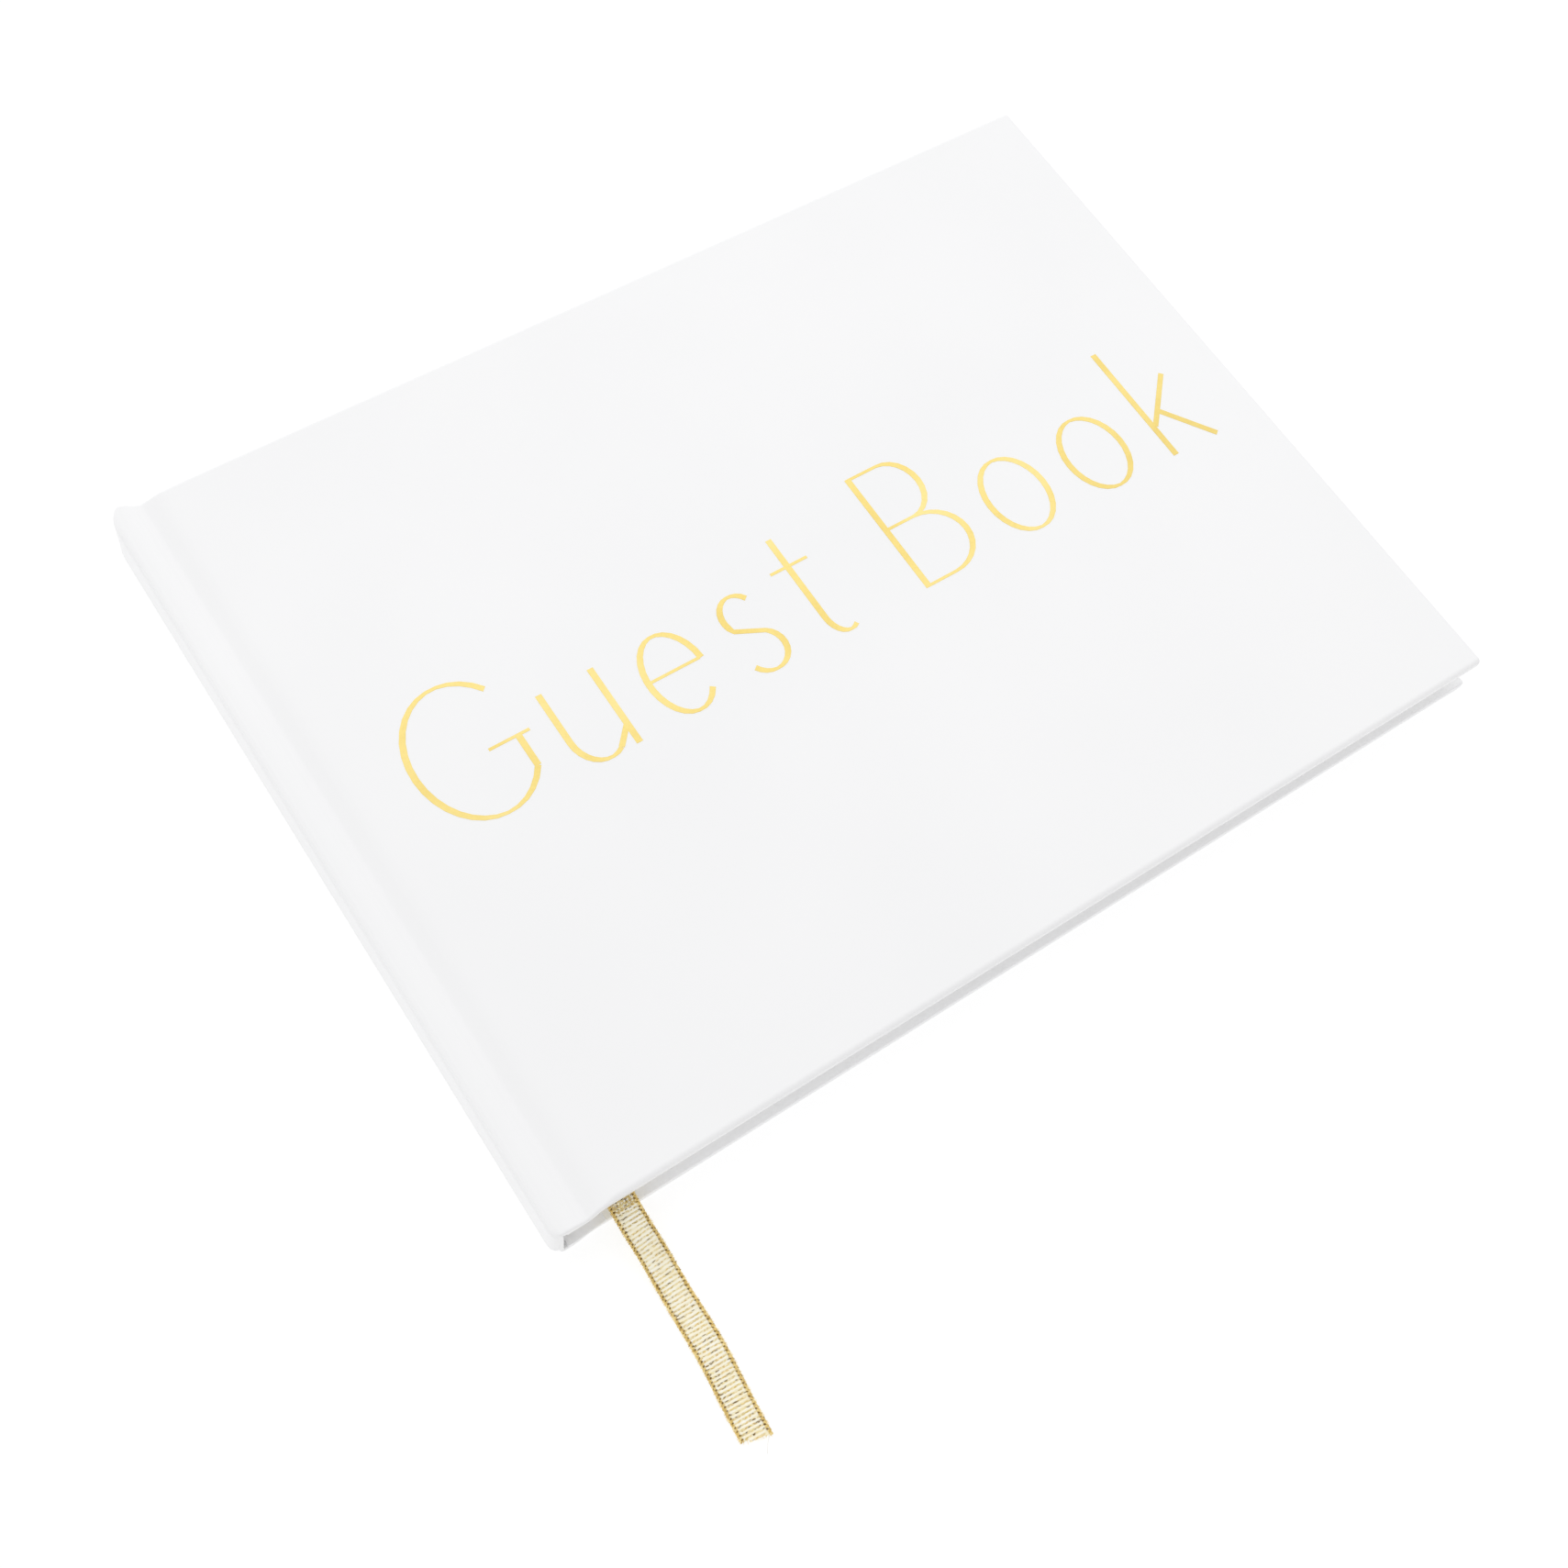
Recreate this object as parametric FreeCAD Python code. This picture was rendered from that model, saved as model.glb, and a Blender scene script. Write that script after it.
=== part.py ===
import FreeCAD, Part

import math
import os

# Wedding guest book: a landscape, case-bound (hardcover) book lying closed on
# its back cover. Millimetres. The origin is the middle of the footprint on the
# surface that the book lies on: +X runs from the spine to the fore-edge, +Y
# from tail to head, and +Z up, out of the front cover.

# ---------------------------------------------------------------- dimensions
book_width = 240.0        # spine to fore-edge
book_height = 180.0       # head to tail
book_thickness = 12.0     # back cover's outside to front cover's outside

board_thickness = 2.0     # greyboard in each cover
wrap_thickness = 0.2      # laminated paper that covers the case
turn_in = 15.0            # wrap folded round the board edges onto the inside
pastedown_thickness = 0.15
board_edge_x = 11.5       # spine ridge to the board's spine edge
wrap_edge_x = 11.3        # where a cover's wrap hands over to the joint strip

square = 3.0              # how far the covers stand past the leaves
block_spine_x = 3.0       # spine ridge to the folds of the sections
leaf_split_x = 10.0       # a turning leaf bends between its fold and here
split_gap = 0.1

flyleaf_thickness = 0.14
section_thickness = 1.04  # four sheets folded once, eight leaves
turning_thickness = 1.02
leaf_gap = 0.03           # air between pieces that turn apart
ribbon_width = 6.0
ribbon_thickness = 0.25

edge_round = 1.0          # outside radius of the covers' face edges
spine_round = 2.0         # outside radius of the spine's long edges
spine_board_thickness = 1.2
hump_end_x = 4.0          # end of the flat top of the spine's shoulder
groove_depth = 1.8        # French groove below the cover's face

foil_thickness = 0.04
title_cap_height = 32.0
title_left_x = 24.0       # from the spine ridge
title_baseline_y = -12.0

hinge_x = 4.2             # both joints, from the spine ridge
hinge_inset_z = 1.8       # from each cover's outside

os.makedirs("parts", exist_ok=True)

half_w = book_width / 2.0
half_h = book_height / 2.0
T = book_thickness
cover_t = 2 * wrap_thickness + board_thickness + pastedown_thickness
leaf_right = book_width - square - 0.5
leaf_half_h = half_h - square


def V(xp, y, z):
    """Point from its distance to the spine ridge, so that x = 0 is mid-width."""
    return FreeCAD.Vector(xp - half_w, y, z)


def block(x0, x1, y0, y1, z0, z1):
    return Part.makeBox(x1 - x0, y1 - y0, z1 - z0, V(x0, y0, z0))


def prism(points, y0, y1):
    """Closed XZ polygon, given as (x from ridge, z), drawn out along Y."""
    ring = [V(x, y0, z) for x, z in points]
    face = Part.Face(Part.makePolygon(ring + [ring[0]]))
    return face.extrude(FreeCAD.Vector(0, y1 - y0, 0))


def flip(shape):
    """Mirror top to bottom, for the back half of the case."""
    return shape.mirror(FreeCAD.Vector(0, 0, T / 2.0), FreeCAD.Vector(0, 0, 1))


def save(name, shape):
    shape = shape.removeSplitter() if shape.ShapeType != "Compound" else shape
    shape.exportStep("parts/%s.step" % name)
    print("%-24s solids %d  volume %.2f  valid %s" % (name, len(shape.Solids), shape.Volume, shape.isValid()))


# ------------------------------------------------------------------- covers
# A cover is a greyboard wrapped in paper that turns in 15 mm on three sides.
def round_plan(shape, radius):
    """Rounds a flat plate's upright corner edges at the fore-edge."""
    edges = [
        e
        for e in shape.Edges
        if abs(e.BoundBox.XLength) < 1e-6
        and abs(e.BoundBox.YLength) < 1e-6
        and e.BoundBox.XMin > half_w - 2.0
    ]
    return shape.makeFillet(radius, edges)


z_board0 = T - wrap_thickness - board_thickness
z_board1 = T - wrap_thickness
z_turn0 = z_board0 - wrap_thickness
z_paste0 = z_turn0 - pastedown_thickness

front_board = round_plan(
    block(board_edge_x, book_width - wrap_thickness, -half_h + wrap_thickness, half_h - wrap_thickness, z_board0, z_board1), 0.8
)
wrap_outer = round_plan(block(wrap_edge_x, book_width, -half_h, half_h, z_turn0, T), 1.0)
wrap_outer = wrap_outer.makeFillet(
    edge_round,
    [
        e
        for e in wrap_outer.Edges
        if abs(e.BoundBox.ZLength) < 1e-6 and e.BoundBox.ZMin > T - 0.01 and e.BoundBox.XMax > -half_w + wrap_edge_x + 0.01
    ],
)
wrap_inner = round_plan(
    block(wrap_edge_x - 1.0, book_width - wrap_thickness, -half_h + wrap_thickness, half_h - wrap_thickness, z_board0, z_board1), 0.8
)
wrap_inner = wrap_inner.makeFillet(
    edge_round - wrap_thickness,
    [
        e
        for e in wrap_inner.Edges
        if abs(e.BoundBox.ZLength) < 1e-6 and e.BoundBox.ZMin > z_board1 - 0.01 and e.BoundBox.XMax > -half_w + wrap_edge_x
    ],
)
wrap_window = block(wrap_edge_x - 1.0, book_width - turn_in, -half_h + turn_in, half_h - turn_in, z_turn0 - 1.0, z_board0 + 0.1)
front_wrap = wrap_outer.cut(wrap_inner).cut(wrap_window)
front_paste = block(board_edge_x, book_width - square, -leaf_half_h, leaf_half_h, z_paste0, z_turn0).fuse(
    block(board_edge_x, book_width - turn_in, -half_h + turn_in, half_h - turn_in, z_turn0, z_board0)
)

# The board's rounded top edge stays inside the wrap's rounded edge.
front_board = front_board.makeFillet(
    edge_round - wrap_thickness,
    [e for e in front_board.Edges if abs(e.BoundBox.ZLength) < 1e-6 and e.BoundBox.ZMin > z_board1 - 0.01],
)

save("front_board", front_board)
save("front_cover_wrap", front_wrap)
save("front_pastedown", front_paste)
save("back_board", flip(front_board))
save("back_cover_wrap", flip(front_wrap))
save("back_pastedown", flip(front_paste))


# ----------------------------------------------------- spine and its joints
def arc_points(cx, cz, r, a0, a1, n):
    return [
        (cx + r * math.cos(math.radians(a0 + (a1 - a0) * i / n)), cz + r * math.sin(math.radians(a0 + (a1 - a0) * i / n)))
        for i in range(n + 1)
    ]


def spine_shell(offset_out, offset_in, reach):
    """C profile round the spine, from the top shoulder to the bottom one."""
    ro, ri = spine_round - offset_out, spine_round - offset_in
    outer = (
        [(reach, T - offset_out)]
        + arc_points(spine_round, T - spine_round, ro, 90, 180, 8)
        + arc_points(spine_round, spine_round, ro, 180, 270, 8)
        + [(reach, offset_out)]
    )
    inner = (
        [(reach, offset_in)]
        + arc_points(spine_round, spine_round, ri, 270, 180, 8)
        + arc_points(spine_round, T - spine_round, ri, 180, 90, 8)
        + [(reach, T - offset_in)]
    )
    return outer + inner


spine_skin = prism(spine_shell(0.0, wrap_thickness, hump_end_x), -half_h, half_h)
# The wrap turns in over the head and tail of the spine, behind its board.
end_cap = prism(spine_shell(wrap_thickness - 0.01, wrap_thickness + spine_board_thickness + wrap_thickness, spine_round), half_h - wrap_thickness, half_h)
inner_flap = prism(
    spine_shell(wrap_thickness + spine_board_thickness, wrap_thickness + spine_board_thickness + wrap_thickness, spine_round),
    half_h - turn_in,
    half_h,
)
mirror_y = lambda s: s.mirror(FreeCAD.Vector(0, 0, 0), FreeCAD.Vector(0, 1, 0))
spine_wrap = spine_skin.fuse([end_cap, inner_flap, mirror_y(end_cap), mirror_y(inner_flap)])
save("spine_wrap", spine_wrap)
save(
    "spine_board",
    prism(
        spine_shell(wrap_thickness, wrap_thickness + spine_board_thickness, spine_round),
        -half_h + wrap_thickness,
        half_h - wrap_thickness,
    ),
)


def groove_profile(n=20):
    """The joint strip dips between the spine's shoulder and the board."""
    span = wrap_edge_x - hump_end_x
    top = []
    for i in range(n + 1):
        u = i / n
        top.append((hump_end_x + span * u, T - groove_depth * 0.5 * (1 - math.cos(2 * math.pi * u))))
    low = []
    for i, (x, z) in enumerate(top):
        if i in (0, n):
            low.append((x, z - wrap_thickness))
            continue
        (xa, za), (xb, zb) = top[i - 1], top[i + 1]
        d = math.hypot(xb - xa, zb - za)
        low.append((x + (zb - za) / d * wrap_thickness, z - (xb - xa) / d * wrap_thickness))
    return top + low[::-1]


front_joint = prism(groove_profile(), -half_h, half_h)
save("front_joint_wrap", front_joint)
save("back_joint_wrap", flip(front_joint))

# --------------------------------------------------------------- text block
# From the top: flyleaf, three sections that turn with the front cover, the
# ribbon's air gap, three sections that stay, and the back flyleaf.
z_fly1 = z_paste0 - 0.02
z_fly0 = z_fly1 - flyleaf_thickness
stack = []
z = z_fly0
for k in (1, 2, 3):
    z1 = z - 0.02
    z0 = z1 - turning_thickness
    stack.append((k, z0, z1))
    z = z0
z_turn_low = z
z_back_fly0 = cover_t + 0.02
z_back_fly1 = z_back_fly0 + flyleaf_thickness
z = z_back_fly1 + 0.02
fixed = []
for k in (6, 5, 4):
    fixed.append((k, z, z + section_thickness))
    z += section_thickness
z_ribbon0 = z
print("air gap for the ribbon: %.3f to %.3f" % (z_ribbon0, z_turn_low))

save("front_endpaper_fold", block(block_spine_x, leaf_split_x - split_gap, -leaf_half_h, leaf_half_h, z_fly0, z_fly1))
save("front_flyleaf", block(leaf_split_x, leaf_right, -leaf_half_h, leaf_half_h, z_fly0, z_fly1))
for k, z0, z1 in stack:
    save("section_%d_fold" % k, block(block_spine_x, leaf_split_x - split_gap, -leaf_half_h, leaf_half_h, z0, z1))
    save("section_%d_leaves" % k, block(leaf_split_x, leaf_right, -leaf_half_h, leaf_half_h, z0, z1))
for k, z0, z1 in fixed:
    save("section_%d" % k, block(block_spine_x, leaf_right, -leaf_half_h, leaf_half_h, z0, z1))
save("back_endpaper_fold", block(block_spine_x, leaf_split_x - split_gap, -leaf_half_h, leaf_half_h, z_back_fly0, z_back_fly1))
save("back_flyleaf", block(leaf_split_x, leaf_right, -leaf_half_h, leaf_half_h, z_back_fly0, z_back_fly1))

# ------------------------------------------------- sewing, linings and bands
spine_z0, spine_z1 = z_back_fly0, z_fly1
stations = [-78.0, -52.0, -26.0, 0.0, 26.0, 52.0, 78.0]
thread = Part.makeCompound(
    [block(block_spine_x - 0.2, block_spine_x, y - 0.25, y + 0.25, spine_z0 + 0.3, spine_z1 - 0.3) for y in stations]
)
save("sewing_thread", thread)
save("mull", block(block_spine_x - 0.4, block_spine_x - 0.2, -leaf_half_h + 8.0, leaf_half_h - 8.0, spine_z0, spine_z1))
save("kraft_spine_lining", block(block_spine_x - 0.6, block_spine_x - 0.4, -leaf_half_h + 3.0, leaf_half_h - 3.0, spine_z0, spine_z1))


def band(sign):
    """A band's rolled bead stands on the leaves' end, and its tape lies on the spine."""
    bead = Part.makeCylinder(0.75, spine_z1 - spine_z0, V(block_spine_x + 0.75, sign * (leaf_half_h + 0.75), spine_z0))
    bead = bead.fuse(
        block(
            block_spine_x - 0.2,
            block_spine_x + 0.75,
            min(sign * leaf_half_h, sign * (leaf_half_h + 0.75)),
            max(sign * leaf_half_h, sign * (leaf_half_h + 0.75)),
            spine_z0,
            spine_z1,
        )
    )
    tape = block(
        block_spine_x - 0.2,
        block_spine_x,
        min(sign * (leaf_half_h - 7.0), sign * leaf_half_h),
        max(sign * (leaf_half_h - 7.0), sign * leaf_half_h),
        spine_z0,
        spine_z1,
    )
    return bead.fuse(tape)


save("head_band", band(1))
save("tail_band", band(-1))

# ------------------------------------------------------------- ribbon marker
# The ribbon is fixed at the head of the spine, lies between the third and
# fourth sections, and leaves the tail edge near the spine.
ribbon_z = z_ribbon0 + 0.02 + ribbon_thickness / 2.0
exit_x, exit_y = 15.2, -leaf_half_h
head_x = 7.0


def flat_strip(points, z0, thickness):
    ring = [V(x, y, z0) for x, y in points]
    return Part.Face(Part.makePolygon(ring + [ring[0]])).extrude(FreeCAD.Vector(0, 0, thickness))


hw = ribbon_width / 2.0
save(
    "ribbon_marker_inner",
    flat_strip(
        [(head_x - hw, leaf_half_h), (head_x + hw, leaf_half_h), (exit_x + hw, exit_y), (exit_x - hw, exit_y)],
        ribbon_z - ribbon_thickness / 2.0,
        ribbon_thickness,
    ),
)

# The free tail: (distance out from the leaves, height), in one upright plane
# that leans towards the spine by 1.7 degrees.
tail_route = [
    (0.0, ribbon_z),
    (4.0, 5.85),
    (8.6, 4.75),
    (13.4, 2.35),
    (18.6, 0.70),
    (25.6, 0.22),
    (34.0, 0.52),
    (43.0, 0.20),
    (51.0, 0.42),
]
lean = math.radians(1.7)


def tail_point(s, z):
    return V(exit_x - s * math.sin(lean), exit_y - s * math.cos(lean), z)


def rounded_path(points):
    """Straight runs joined by tangent arcs, each as large as its runs allow."""
    edges, radii = [], []
    start = points[0]
    length = 0.0
    for i in range(1, len(points) - 1):
        a, b, c = points[i - 1], points[i], points[i + 1]
        u, w = (b - a), (c - b)
        lu, lw = u.Length, w.Length
        u.normalize()
        w.normalize()
        turn = math.acos(max(-1.0, min(1.0, u.dot(w))))
        setback = 0.45 * min(lu, lw)
        radius = setback / math.tan(turn / 2.0)
        radii.append(radius)
        p0, p1 = b - u * setback, b + w * setback
        bis = w - u
        bis.normalize()
        centre = b + bis * (radius / math.cos(turn / 2.0))
        mid = centre - bis * radius
        edges.append(Part.LineSegment(start, p0).toShape())
        edges.append(Part.Arc(p0, mid, p1).toShape())
        length += (p0 - start).Length + radius * turn
        start = p1
    edges.append(Part.LineSegment(start, points[-1]).toShape())
    length += (points[-1] - start).Length
    return Part.Wire(edges), radii, length


tail_points = [tail_point(s, zz) for s, zz in tail_route]
tail_wire, tail_radii, tail_length = rounded_path(tail_points)
p = tail_points[0]
side = FreeCAD.Vector(math.cos(lean), -math.sin(lean), 0)
up = (tail_points[1] - tail_points[0]).cross(side)
up.normalize()
if up.z < 0:
    up = up * -1
corners = [
    p + side * (sx * hw) + up * (sz * ribbon_thickness / 2.0) for sx, sz in ((-1, -1), (1, -1), (1, 1), (-1, 1))
]
profile = Part.makePolygon(corners + [corners[0]])
tail_solid = tail_wire.makePipeShell([profile], True, False)
tail_solid = Part.Solid(tail_solid.Shells[0]) if not tail_solid.Solids else tail_solid.Solids[0]
save("ribbon_marker_tail", tail_solid)
print("tail arc radii: %s" % ", ".join("%.1f" % r for r in tail_radii))
print(
    "tail length %.2f, volume %.3f against section x length %.3f"
    % (tail_length, tail_solid.Volume, tail_length * ribbon_width * ribbon_thickness)
)

# ---------------------------------------------------------------- foil title
# Plain upright letters in thin foil. Each stroke is a centreline in a unit
# where 100 is the cap height, with a flat pen that is wide on uprights.
PEN_WIDE, PEN_FINE = 4.6, 2.2


def ellipse(cx, cy, rx, ry, a0, a1, n):
    return [
        (cx + rx * math.cos(math.radians(a0 + (a1 - a0) * i / n)), cy + ry * math.sin(math.radians(a0 + (a1 - a0) * i / n)))
        for i in range(n + 1)
    ]


letters = {
    "G": (78, [ellipse(42, 50, 40, 50, 42, 322, 26), [(73.5, 19), (73.5, 44)], [(52, 44), (82, 44)]]),
    "u": (52, [[(6, 62), (6, 22)] + ellipse(24, 22, 18, 22, 180, 300, 9), [(45, 62), (45, 0)], [(33, 3.0), (45, 16)]]),
    "e": (52, [[(6, 33), (45, 33)], ellipse(25.5, 31, 20.5, 31, 3, 318, 24)]),
    "s": (38, [ellipse(19, 46.5, 13, 15.5, 35, 215, 12) + ellipse(19, 15.5, 15, 15.5, 55, -150, 14)]),
    "t": (34, [[(15, 86), (15, 16)] + ellipse(26, 16, 11, 16, 180, 300, 8), [(1, 62), (31, 62)]]),
    "B": (66, [[(8, 100), (8, 0)], [(8, 99)] + ellipse(32, 75.5, 20, 23.5, 90, -90, 12) + [(8, 52)], [(30, 52)] + ellipse(32, 26.5, 27, 25.5, 90, -90, 14) + [(8, 1)]]),
    "o": (56, [ellipse(26, 31, 23, 31, 0, 360, 28)]),
    "k": (50, [[(7, 100), (7, 0)], [(42, 62), (9, 27)], [(19, 37), (46, 0)]]),
}


def stroke_polygon(line, closed):
    """Outline of one pen stroke: wide where it runs upright, fine where flat."""
    left, right = [], []
    n = len(line)
    for i, (x, y) in enumerate(line):
        if closed:
            (xa, ya), (xb, yb) = line[(i - 1) % n], line[(i + 1) % n]
        else:
            (xa, ya), (xb, yb) = line[max(i - 1, 0)], line[min(i + 1, n - 1)]
        dx, dy = xb - xa, yb - ya
        d = math.hypot(dx, dy)
        dx, dy = dx / d, dy / d
        w = 0.5 * (PEN_FINE + (PEN_WIDE - PEN_FINE) * abs(dy))
        left.append((x - dy * w, y + dx * w))
        right.append((x + dy * w, y - dx * w))
    return left, right


unit = title_cap_height / 100.0
z_foil = T


def foil_prism(points, x0):
    ring = [V(title_left_x + (x0 + x) * unit, title_baseline_y + y * unit, z_foil) for x, y in points]
    return Part.Face(Part.makePolygon(ring + [ring[0]])).extrude(FreeCAD.Vector(0, 0, foil_thickness))


foil_solids = []
cursor = 0.0
tracking = 15.0
for ch in "Guest Book":
    if ch == " ":
        cursor += 34.0
        continue
    advance, strokes = letters[ch]
    pieces = []
    for line in strokes:
        line = [q for i, q in enumerate(line) if i == 0 or math.hypot(q[0] - line[i - 1][0], q[1] - line[i - 1][1]) > 0.5]
        closed = math.hypot(line[0][0] - line[-1][0], line[0][1] - line[-1][1]) < 1e-6
        if closed:
            line = line[:-1]
        left, right = stroke_polygon(line, closed)
        if closed:
            a, b = foil_prism(left, cursor), foil_prism(right, cursor)
            pieces.append(a.cut(b) if a.Volume > b.Volume else b.cut(a))
        else:
            pieces.append(foil_prism(left + right[::-1], cursor))
    letter = pieces[0].fuse(pieces[1:]) if len(pieces) > 1 else pieces[0]
    foil_solids.extend(letter.removeSplitter().Solids)
    cursor += advance + tracking
save("title_foil", Part.makeCompound(foil_solids))
print("title spans %.1f mm" % ((cursor - tracking) * unit))
print("hinge lines: x %.2f, z %.2f and %.2f" % (hinge_x - half_w, T - hinge_inset_z, hinge_inset_z))
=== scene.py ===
import math
import random

import bmesh
import bpy
import numpy as np
from mathutils import Matrix, Vector


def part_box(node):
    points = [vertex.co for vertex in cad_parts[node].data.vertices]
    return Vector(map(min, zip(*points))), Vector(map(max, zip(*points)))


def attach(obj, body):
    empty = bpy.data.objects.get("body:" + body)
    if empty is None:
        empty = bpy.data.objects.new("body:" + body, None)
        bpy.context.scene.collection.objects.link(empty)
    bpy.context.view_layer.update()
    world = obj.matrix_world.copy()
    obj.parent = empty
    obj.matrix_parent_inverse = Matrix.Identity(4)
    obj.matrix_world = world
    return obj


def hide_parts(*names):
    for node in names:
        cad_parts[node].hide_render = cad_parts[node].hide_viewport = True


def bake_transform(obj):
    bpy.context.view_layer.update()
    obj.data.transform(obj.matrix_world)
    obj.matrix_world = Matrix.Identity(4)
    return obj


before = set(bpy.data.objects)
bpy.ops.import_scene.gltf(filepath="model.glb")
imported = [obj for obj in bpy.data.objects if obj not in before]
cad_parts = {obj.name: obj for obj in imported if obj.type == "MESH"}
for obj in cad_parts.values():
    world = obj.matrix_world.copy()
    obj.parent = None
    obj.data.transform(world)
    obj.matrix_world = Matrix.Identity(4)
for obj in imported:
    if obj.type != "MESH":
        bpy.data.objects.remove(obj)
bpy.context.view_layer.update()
rng = random.Random(17)

# ------------------------------------------------------------------ numbers
# The same dimensions as the CAD model, in millimetres. x is counted from the
# spine ridge, so it is shifted by half the width on the way to the frame.
lo_c, hi_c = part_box("front_cover_wrap")
lo_s, hi_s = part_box("spine_wrap")
W = (hi_c.x - lo_s.x) * 1000.0
H = (hi_c.y - lo_c.y) * 1000.0
T = hi_c.z * 1000.0
HALF_W, HALF_H = W / 2.0, H / 2.0
HINGE_X = 4.2
MM = 0.001


def frame_point(x, y, z):
    return ((x - HALF_W) * MM, y * MM, z * MM)


def new_object(name, verts, faces, smooth=True):
    """Mesh from millimetre points, x from the spine ridge."""
    mesh = bpy.data.meshes.new(name)
    v = np.asarray(verts, float).copy()
    v[:, 0] -= HALF_W
    v *= MM
    mesh.from_pydata([tuple(p) for p in v], [], [tuple(f) for f in faces])
    mesh.validate()
    mesh.update()
    obj = bpy.data.objects.new(name, mesh)
    bpy.context.scene.collection.objects.link(obj)
    if smooth:
        mesh.polygons.foreach_set("use_smooth", [True] * len(mesh.polygons))
    return obj


def sharp_by_angle(obj, degrees=38.0):
    mesh = obj.data
    limit = math.cos(math.radians(degrees))
    faces_of = {}
    for p in mesh.polygons:
        for k in p.edge_keys:
            faces_of.setdefault(k, []).append(p.index)
    flags = np.zeros(len(mesh.edges), bool)
    for e in mesh.edges:
        near = faces_of.get(tuple(sorted(e.vertices)), [])
        if len(near) == 2 and mesh.polygons[near[0]].normal.dot(mesh.polygons[near[1]].normal) < limit:
            flags[e.index] = True
    a = mesh.attributes.get("sharp_edge") or mesh.attributes.new("sharp_edge", "BOOLEAN", "EDGE")
    a.data.foreach_set("value", flags)
    mesh.update()


def hermite(points, x):
    """Smooth curve through points, flat where neighbours make it turn."""
    px = [p[0] for p in points]
    pz = [p[1] for p in points]
    n = len(px)
    m = []
    for i in range(n):
        if i in (0, n - 1):
            m.append(0.0)
            continue
        d0 = (pz[i] - pz[i - 1]) / (px[i] - px[i - 1])
        d1 = (pz[i + 1] - pz[i]) / (px[i + 1] - px[i])
        m.append(0.0 if d0 * d1 <= 0 else 2 * d0 * d1 / (d0 + d1))
    if x <= px[0]:
        return pz[0]
    if x >= px[-1]:
        return pz[-1]
    k = max(i for i in range(n - 1) if px[i] <= x)
    h = px[k + 1] - px[k]
    t = (x - px[k]) / h
    return (
        (2 * t**3 - 3 * t**2 + 1) * pz[k]
        + (t**3 - 2 * t**2 + t) * h * m[k]
        + (-2 * t**3 + 3 * t**2) * pz[k + 1]
        + (t**3 - t**2) * h * m[k + 1]
    )


def smoothstep(a, b, x):
    t = min(1.0, max(0.0, (x - a) / (b - a)))
    return t * t * (3 - 2 * t)


# ---------------------------------------------------------------- materials
class Nodes:
    """Small helper to lay out a node tree."""

    def __init__(self, name):
        self.m = bpy.data.materials.new(name)
        self.m.use_nodes = True
        self.t = self.m.node_tree
        self.b = next(n for n in self.t.nodes if n.type == "BSDF_PRINCIPLED")

    def add(self, kind, **values):
        n = self.t.nodes.new(kind)
        for k, v in values.items():
            if k in n.inputs:
                n.inputs[k].default_value = v
            else:
                setattr(n, k, v)
        return n

    def link(self, a, b):
        self.t.links.new(a, b)

    def coords(self, scale=(1, 1, 1), rotate=(0, 0, 0)):
        c = self.add("ShaderNodeTexCoord")
        m = self.add("ShaderNodeMapping")
        m.inputs["Scale"].default_value = scale
        m.inputs["Rotation"].default_value = rotate
        self.link(c.outputs["Object"], m.inputs["Vector"])
        return m.outputs["Vector"]

    def noise(self, vector, scale, detail=4.0, rough=0.55):
        n = self.add("ShaderNodeTexNoise")
        n.inputs["Scale"].default_value = scale
        n.inputs["Detail"].default_value = detail
        n.inputs["Roughness"].default_value = rough
        self.link(vector, n.inputs["Vector"])
        return n.outputs["Fac"]

    def ramp(self, fac, stops, mode="LINEAR"):
        r = self.add("ShaderNodeValToRGB")
        r.color_ramp.interpolation = mode
        while len(r.color_ramp.elements) < len(stops):
            r.color_ramp.elements.new(0.5)
        for e, (pos, col) in zip(r.color_ramp.elements, stops):
            e.position = pos
            e.color = (*col, 1.0) if len(col) == 3 else col
        self.link(fac, r.inputs["Fac"])
        return r.outputs["Color"]

    def bump(self, height, strength, distance, normal=None):
        b = self.add("ShaderNodeBump")
        b.inputs["Strength"].default_value = strength
        b.inputs["Distance"].default_value = distance
        self.link(height, b.inputs["Height"])
        if normal is not None:
            self.link(normal, b.inputs["Normal"])
        return b.outputs["Normal"]


def grey(v, warm=0.0):
    return (v + warm, v, v - warm)


def cover_paper():
    """White laminated cover paper: a satin film over fine calendered paper."""
    k = Nodes("cover_paper")
    v = k.coords()
    tone = k.ramp(k.noise(v, 14.0, 2.0), [(0.3, (0.885, 0.886, 0.893)), (0.7, (0.905, 0.905, 0.911))])
    k.link(tone, k.b.inputs["Base Color"])
    film = k.noise(v, 2600.0, 3.0)
    slow = k.noise(v, 260.0, 3.0)
    rough = k.ramp(slow, [(0.25, grey(0.40)), (0.75, grey(0.50))])
    k.link(rough, k.b.inputs["Roughness"])
    k.b.inputs["Specular IOR Level"].default_value = 0.42
    n1 = k.bump(slow, 0.10, 0.00006)
    k.link(k.bump(film, 0.16, 0.00002, n1), k.b.inputs["Normal"])
    return k.m


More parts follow.
